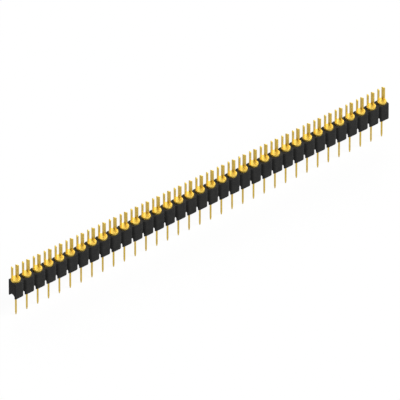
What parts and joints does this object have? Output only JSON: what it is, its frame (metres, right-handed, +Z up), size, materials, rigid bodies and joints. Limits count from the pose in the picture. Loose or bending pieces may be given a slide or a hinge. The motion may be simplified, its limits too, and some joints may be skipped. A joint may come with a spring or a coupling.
{
  "type": "pin header strip",
  "caption": "Single-row strip of turned brass fork contacts in a notched black moulded insulator, with straight tails for a circuit board.",
  "frame": {"origin": "on the axis of the middle contact's tail, in the plane of the insulator's feet", "axes": "+X along the row, +Y towards the side that the fork prongs stand on, +Z up, away from the circuit board; the tails point along -Z"},
  "size_m": [0.0882, 0.0022, 0.0114],
  "materials": {
    "insulator": "matt moulded black thermoplastic",
    "gold_plated_brass": "turned brass with a bright gold plate"
  },
  "bodies": {
    "root": {"insulator_body": "insulator", "contact_01": "gold_plated_brass", "contact_02": "gold_plated_brass", "contact_03": "gold_plated_brass", "contact_04": "gold_plated_brass", "contact_05": "gold_plated_brass", "contact_06": "gold_plated_brass", "contact_07": "gold_plated_brass", "contact_08": "gold_plated_brass", "contact_09": "gold_plated_brass", "contact_10": "gold_plated_brass", "contact_11": "gold_plated_brass", "contact_12": "gold_plated_brass", "contact_13": "gold_plated_brass", "contact_14": "gold_plated_brass", "contact_15": "gold_plated_brass", "contact_16": "gold_plated_brass", "contact_17": "gold_plated_brass", "contact_18": "gold_plated_brass", "contact_19": "gold_plated_brass", "contact_20": "gold_plated_brass", "contact_21": "gold_plated_brass", "contact_22": "gold_plated_brass", "contact_23": "gold_plated_brass", "contact_24": "gold_plated_brass", "contact_25": "gold_plated_brass", "contact_26": "gold_plated_brass", "contact_27": "gold_plated_brass", "contact_28": "gold_plated_brass", "contact_29": "gold_plated_brass", "contact_30": "gold_plated_brass", "contact_31": "gold_plated_brass", "contact_32": "gold_plated_brass", "contact_33": "gold_plated_brass", "contact_34": "gold_plated_brass", "contact_35": "gold_plated_brass"}
  },
  "joints": []
}
